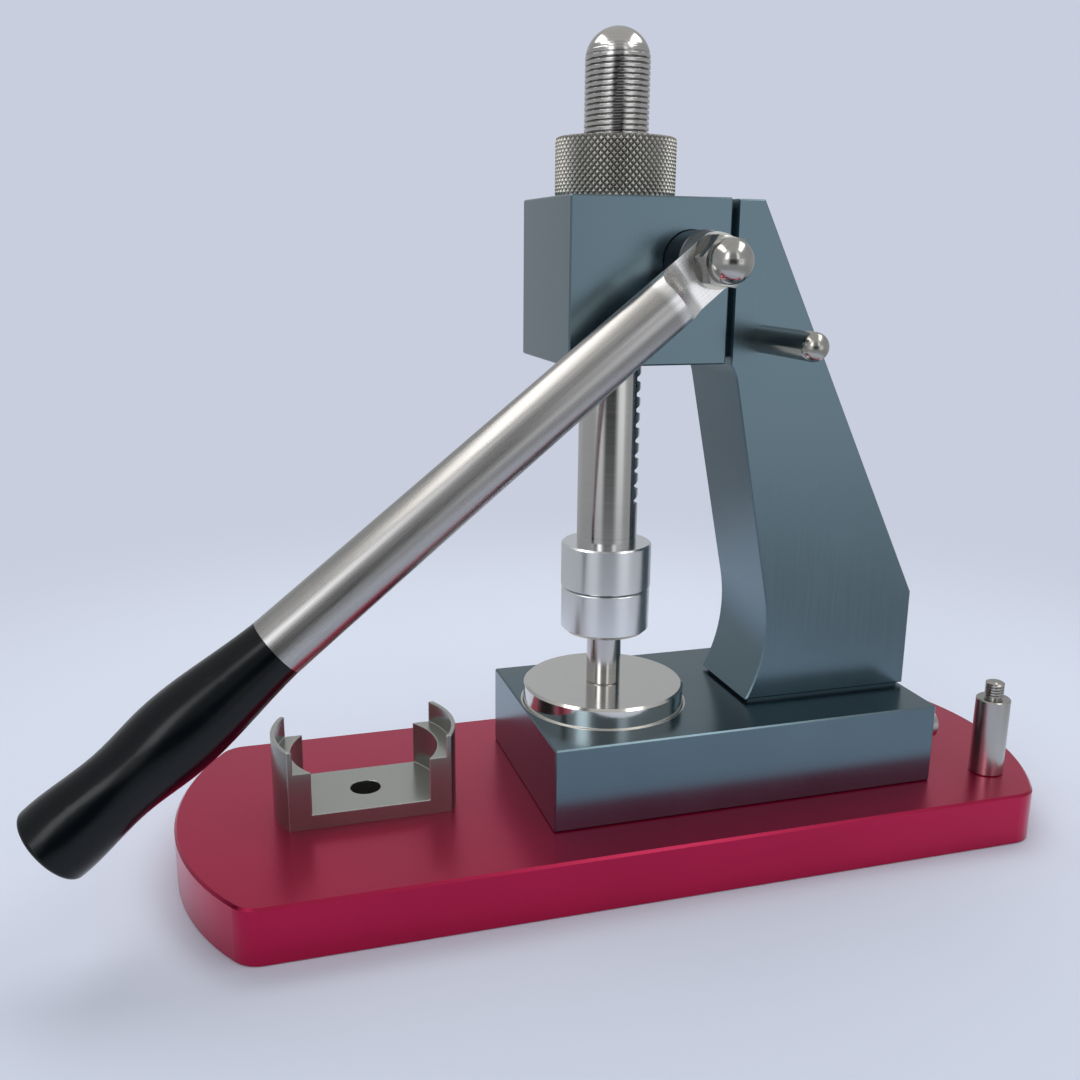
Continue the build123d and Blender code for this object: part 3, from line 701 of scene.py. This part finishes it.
ramLook = {
    "shader": {"Metallic": 1.0},
    "colour": steel["colour"],
    "spread": 0.04,
    "roughness": (0.10, 0.19),
    "grain": (2400, 40),
    "detail": 4.0,
    "depth": 0.8 * micron,
    # painted shade for the rack's flanks and roots, which lie in shadow
    "rackPaintedShade": (0.055, 0.056, 0.06),
    "cutRougher": 0.25,
    "cutReach": 4.6 * mm,       # from the rear side inwards
    "cutFrom": 0.05 * mm,       # below the ground surface
    "cutTop": 2 * mm,           # below the stop nut
    "threadDark": (0.25, 0.245, 0.235),
    "threadFrom": 0.42 * mm,    # below the crests
    "threadBottom": 3 * mm,     # below the top of the stop nut
    "threadTop": 1 * mm,        # above the foot of the dome
}


# ground ram; painted shade darkens the flanks and roots of its rack, and its thread is darker
# below its crests
def makeRam():
    look = ramLook
    finish, tree, shader = startFinish("groundRam", look)
    vector, radius = roundGrain(tree, ramAxis, *look["grain"])
    marks = noiseOf(tree, vector, detail=look["detail"])
    tint = tintOf(tree, marks, wideSpan, look)
    spot = spotOf(tree)
    height = partOf(tree, spot, "Z")

    aboveNut = over(tree, height, nutHigh.z - look["threadBottom"])
    underDome = under(tree, height, ramHigh.z - ramRadius + look["threadTop"])
    groove = under(tree, radius, ramRadius - look["threadFrom"])
    thread = times(tree, times(tree, aboveNut, underDome), groove)
    tint = mixColours(tree, thread, tint, look["threadDark"])

    # painted shade over the rack's cut flanks and roots
    rear = over(tree, partOf(tree, spot, "X"), pressX + ramRadius - look["cutReach"])
    inside = under(tree, radius, ramRadius - look["cutFrom"])
    underNut = under(tree, height, nutLow.z - look["cutTop"])
    cut = times(tree, times(tree, rear, inside), underNut)
    tint = mixColours(tree, cut, tint, look["rackPaintedShade"])
    rough = rangeOf(tree, marks, *wideSpan, *look["roughness"])
    rough = mathOf(tree, "MULTIPLY_ADD", cut, look["cutRougher"], rough)

    endFinish(tree, shader, tint, rough, bumpOf(tree, marks, look["depth"]))
    return finish


nestLook = {
    "shader": {"Metallic": 0.85},
    # painted shade and painted light: walls get a dark colour, faces that look up a light one
    "colour": (0.225, 0.23, 0.21),
    "spread": 0.05,
    "roughness": (0.20, 0.27),
    "grain": 1700,
    "depth": 1 * micron,
    "clouds": 60,
    "paintedLitLevelColour": (0.48, 0.485, 0.455),
    "levelFrom": 0.5,               # how far up a face looks that counts as level
    "edgeHighlightColour": (0.72, 0.71, 0.68),
    "edge": 0.8 * mm,               # how wide its painted edge highlights are
    "edgeSamples": 6,
    "edgeHighlightSpan": (0.99, 0.86),           # where the painted highlight begins and is full, as the edge turns away
    "edgeHighlightShare": 0.8,
}


def makeNestAlloy():
    look = nestLook
    finish, tree, shader = startFinish("nestAlloy", look)
    grain = noiseOf(tree, spotOf(tree), look["grain"])
    tint = tintOf(tree, cloudsOf(tree, look["clouds"]), narrowSpan, look)
    flat = put(tree, "NewGeometry").outputs["True Normal"]
    # painted light: faces that look up get the lighter colour
    level = over(tree, partOf(tree, flat, "Z"), look["levelFrom"])
    tint = mixColours(tree, level, tint, look["paintedLitLevelColour"])
    # painted highlight along the edges, where the rounded normal turns from the true one
    rounded = put(tree, "Bevel", {"Radius": look["edge"]}, samples=look["edgeSamples"]).outputs[0]
    alike = dotOf(tree, rounded, flat)
    edgeHighlightSpan = rangeOf(tree, alike, *look["edgeHighlightSpan"], 0, look["edgeHighlightShare"])
    tint = mixColours(tree, edgeHighlightSpan, tint, look["edgeHighlightColour"])
    rough = rangeOf(tree, grain, *wideSpan, *look["roughness"])
    endFinish(tree, shader, tint, rough, bumpOf(tree, grain, look["depth"], rounded))
    return finish


gripLook = {
    "shader": {"Specular IOR Level": 0.30},
    "colour": (0.0010, 0.0026, 0.0042),
    "spread": 0.2,
    "roughness": (0.13, 0.20),
    "grain": 1500,
    "detail": 2.0,
    "depth": 2 * micron,
    "clouds": 45,
}


def makeGripPlastic():
    look = gripLook
    finish, tree, shader = startFinish("blackGrip", look)
    grain = noiseOf(tree, spotOf(tree), look["grain"], look["detail"])
    clouds = cloudsOf(tree, look["clouds"])
    tint = mixColours(tree, clouds, *shades(look))
    rough = rangeOf(tree, clouds, *wideSpan, *look["roughness"])
    endFinish(tree, shader, tint, rough, bumpOf(tree, grain, look["depth"]))
    return finish


finishes = {name: makeSteel(name, own) for name, own in steels.items()}
finishes["slateAnodised"] = makeSlate("slateAnodised")
finishes["slateAnodisedRim"] = makeSlate("slateAnodisedRim", recessed=True)
finishes["redAnodised"] = makeRed()
finishes["groundRam"] = makeRam()
finishes["nestAlloy"] = makeNestAlloy()
finishes["blackGrip"] = makeGripPlastic()
print("finishes made")


wearing = {
    "redAnodised": ("base_plate",),
    "slateAnodisedRim": ("lower_block",),
    "slateAnodised": ("column", "head_block"),
    "polishedDisc": ("anvil_disc",),
    "groundPunch": ("punch",),
    "turnedCollar": ("coupling_collar",),
    "turnedHolder": ("punch_holder",),
    "groundRam": ("ram",),
    "brushedLever": ("lever_bar",),
    "blackGrip": ("lever_grip",),
    "polishedNut": ("cap_nut", "lever_washer"),
    "polishedPin": ("stop_pin",),
    "shadedHubSteel": ("pinion_shaft", "retaining_ring"),
    "nestAlloy": ("nest",),
    "bushBronze": ("ram_bush_lower", "ram_bush_upper"),
    "screwSteel": ("block_screws", "anvil_screw", "column_screws", "head_screws", "nest_screws",
                   "rear_screws", "thrust_washer"),
}


def dress(piece, finish):
    if not piece.material_slots:
        piece.data.materials.append(finish)
    for held in piece.material_slots:
        held.material = finish


for finishName, nodeNames in wearing.items():
    for nodeName in nodeNames:
        dress(frame["nodes"][nodeName], finishes[finishName])
print("nodes dressed")


# added pieces; edges that turn more than sharpAt degrees stay sharp
def makePiece(name, points, faces, finishName, body, sharpAt):
    mesh = bpy.data.meshes.new(name)
    mesh.from_pydata(points, [], faces)
    mesh.validate()
    mesh.update()
    mesh.shade_smooth()
    mesh.set_sharp_from_angle(angle=radians(sharpAt))
    mesh.materials.append(finishes[finishName])
    piece = addObject(name, mesh)
    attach(piece, body)
    return piece


# rings of points joined into a closed turned shape; a radius of 0 closes it on the axis
def turnedShape(outline, steps, foot, radiusAt, loop=False):
    points, rows, faces = [], [], []
    for radius, z in outline:
        if radius == 0:
            rows.append([len(points)] * steps)
            points.append((foot[0], foot[1], z))
            continue
        rows.append(list(range(len(points), len(points) + steps)))
        for k in range(steps):
            angle = 2 * pi * k / steps
            r = radiusAt(radius, z, angle)
            points.append((foot[0] + r * cos(angle), foot[1] + r * sin(angle), z))
    pairs = list(zip(rows, rows[1:]))
    if loop:
        pairs.append((rows[-1], rows[0]))
    for lower, upper in pairs:
        for k in range(steps):
            n = (k + 1) % steps
            corners = [lower[k], lower[n], upper[n], upper[k]]
            faces.append([c for i, c in enumerate(corners) if c != corners[i - 1]])
    return points, faces


# a thread's radius at a height and an angle; of each pitch, a crest's flat takes twice the
# look's "flat" and a groove's takes half of it
def threadRadius(look, z, angle, zero, crest):
    phase = ((z - zero) / look["pitch"] - angle / (2 * pi)) % 1
    rise = min(phase, 1 - phase) * 2
    share = min(1, max(0, (rise - look["flat"] * 0.5) / (1 - 2.5 * look["flat"])))
    return look["root"] + (crest - look["root"]) * (3 * share**2 - 2 * share**3)


# heights along a thread, low to high
def threadHeights(look, bottom, top):
    count = int((top - bottom) / look["pitch"] * look["rowsPerPitch"])
    return [bottom + (top - bottom) * k / count for k in range(count + 1)]


ramThread = {
    "pitch": 2.0 * mm,
    "flat": 0.29,
    "root": 11.7 * mm,
    "core": 11.35 * mm,         # the ram's own radius there
    "inside": 10.6 * mm,        # hidden in the ram
    "below": 1.6 * mm,          # how far down in the nut's widened bore it begins
    "rowsPerPitch": 14,
    "steps": 120,
    "sharpAt": 60,
}


def addRamThread():
    look = ramThread
    domeFoot = ramHigh.z - ramRadius
    bottom = nutHigh.z - look["below"]
    top = domeFoot + sqrt(ramRadius**2 - look["core"]**2)

    def radiusAt(radius, z, angle):
        if radius < look["core"]:
            return radius
        dome = ramRadius
        if z > domeFoot:
            dome = sqrt(max(0, ramRadius**2 - (z - domeFoot)**2))
        ridge = threadRadius(look, z, angle, bottom, ramRadius)
        return max(look["core"], min(dome, ridge))

    outline = [(ramRadius, z) for z in threadHeights(look, bottom, top)]
    outline = [(look["inside"], bottom), *outline, (look["inside"], top)]
    points, faces = turnedShape(outline, look["steps"], ramFoot, radiusAt, loop=True)
    makePiece("ram_thread", points, faces, "groundRam", "ram", look["sharpAt"])


stopNut = {
    "columns": 58,
    "halfRows": 16,
    "depth": 0.62 * mm,
    "flat": 0.30,           # share of each diamond that is flat on top
    "rimDrop": 0.12 * mm,   # how much lower the knurl's crests end at the rims
    "edge": 0.5 * mm,
    "rimEdge": 0.3 * mm,    # how far the end faces begin inside the grooves
    "boreEdge": 0.9 * mm,
    "bite": 0.02 * mm,      # how far the bore reaches into the ram's core
    "wide": 0.2 * mm,       # room round the thread in the top of the bore
    "wideDepth": 1.8 * mm,
    "wideEdge": 0.36 * mm,
    "sharpAt": 12,
}


# knurled nut: each diamond is a low pyramid between crossing grooves
def addStopNut():
    look = stopNut
    root = nutRadius - look["depth"]
    around, rows = look["columns"], look["halfRows"]
    low, high = nutLow.z + look["edge"], nutHigh.z - look["edge"]
    points, faces = [], []

    def at(column, radius, z):
        angle = 2 * pi * column / around
        points.append((pressX + radius * cos(angle), radius * sin(angle), z))
        return len(points) - 1

    def heightOf(row):
        return low + (high - low) * row / rows

    # every other row is shifted by half a diamond
    def shiftOf(row):
        return 0.5 * (row % 2)

    crossings = [[at(k + shiftOf(row), root, heightOf(row)) for k in range(around)]
                 for row in range(rows + 1)]
    rims = {0: [], rows: []}
    for row in range(rows + 1):
        for k in range(around):
            middle = k + shiftOf(row) + 0.5
            left, right = crossings[row][k], crossings[row][(k + 1) % around]
            beside = (k + row % 2) % around
            if row in rims:
                peak = at(middle, nutRadius - look["rimDrop"], heightOf(row))
                rims[row] += [left, peak]
                if row == 0:
                    above = crossings[1][beside]
                    faces += [(left, peak, above), (peak, right, above)]
                else:
                    below = crossings[row - 1][beside]
                    faces += [(left, below, peak), (peak, below, right)]
                continue
            f = look["flat"]
            flats = [at(middle - f / 2, nutRadius, heightOf(row)),
                     at(middle, nutRadius, heightOf(row - f)),
                     at(middle + f / 2, nutRadius, heightOf(row)),
                     at(middle, nutRadius, heightOf(row + f))]
            corners = [left, crossings[row - 1][beside], right, crossings[row + 1][beside]]
            faces.append(tuple(flats))
            for n in range(4):
                m = (n + 1) % 4
                faces.append((corners[n], corners[m], flats[m], flats[n]))

    # end faces and bore, as rings from each rim inwards
    face = root - look["rimEdge"]
    bore = ramThread["core"] - look["bite"]
    wide = ramRadius + look["wide"]
    step = nutHigh.z - look["wideDepth"]
    lowRings = [(face, nutLow.z), (bore + look["boreEdge"], nutLow.z),
                (bore, nutLow.z + look["boreEdge"])]
    highRings = [(face, nutHigh.z), (wide + look["wideEdge"], nutHigh.z),
                 (wide, nutHigh.z - look["wideEdge"]), (wide, step), (bore, step)]
    for row, rings in ((0, lowRings), (rows, highRings)):
        for radius, z in rings:
            outer = rims[row]
            inner = [at(shiftOf(row) + n * 0.5, radius, z) for n in range(len(outer))]
            for n in range(len(inner)):
                m = (n + 1) % len(inner)
                quad = (outer[n], outer[m], inner[m], inner[n])
                faces.append(quad if row else quad[::-1])
            rims[row] = inner
    lower, upper = rims[0], rims[rows]
    for n in range(len(lower)):
        m = (n + 1) % len(lower)
        faces.append((lower[m], lower[n], upper[n], upper[m]))
    nut = makePiece("stop_nut_knurled", points, faces, "knurledSteel", "stop_nut",
                    look["sharpAt"])
    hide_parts("stop_nut")


sparePunch = {
    "edge": 0.5 * mm,
    "neckRadius": 3.3 * mm,
    "neckHeight": 1.1 * mm,
    "studHeight": 7.9 * mm,
    "stud": 4.0 * mm,
    "root": 3.3 * mm,
    "pitch": 1.25 * mm,
    "flat": 0.2,
    "tipRise": 0.8 * mm,
    "tipRings": ((3.1 * mm, 0.36 * mm), (1.86 * mm, 0.064 * mm)),   # radius, below the top
    "rowsPerPitch": 12,
    "steps": 72,
    "sharpAt": 40,
}


def addSparePunch():
    look = sparePunch
    body = (spareHigh.x - spareLow.x) / 2
    edge, neck = look["edge"], look["neckRadius"]
    shoulder = spareHigh.z - look["studHeight"]
    threadFrom = shoulder + look["neckHeight"]
    threadTo = spareHigh.z - look["tipRise"]
    outline = [(0, spareLow.z), (body - edge, spareLow.z), (body, spareLow.z + edge),
               (body, shoulder - edge), (body - edge, shoulder), (neck, shoulder),
               (neck, threadFrom)]
    outline += [(look["stud"], z) for z in threadHeights(look, threadFrom, threadTo)]
    outline += [(radius, spareHigh.z - drop) for radius, drop in look["tipRings"]]
    outline.append((0, spareHigh.z))

    def radiusAt(radius, z, angle):
        if radius != look["stud"]:
            return radius
        return threadRadius(look, z, angle, threadFrom, radius)

    points, faces = turnedShape(outline, look["steps"], spareFoot, radiusAt)
    punch = makePiece("spare_punch_threaded", points, faces, "groundSparePunch", "frame",
                      look["sharpAt"])
    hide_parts("spare_punch")


addRamThread()
addStopNut()
addSparePunch()
print("threads and knurl cut")


bpy.context.scene.view_settings.view_transform = "Standard"
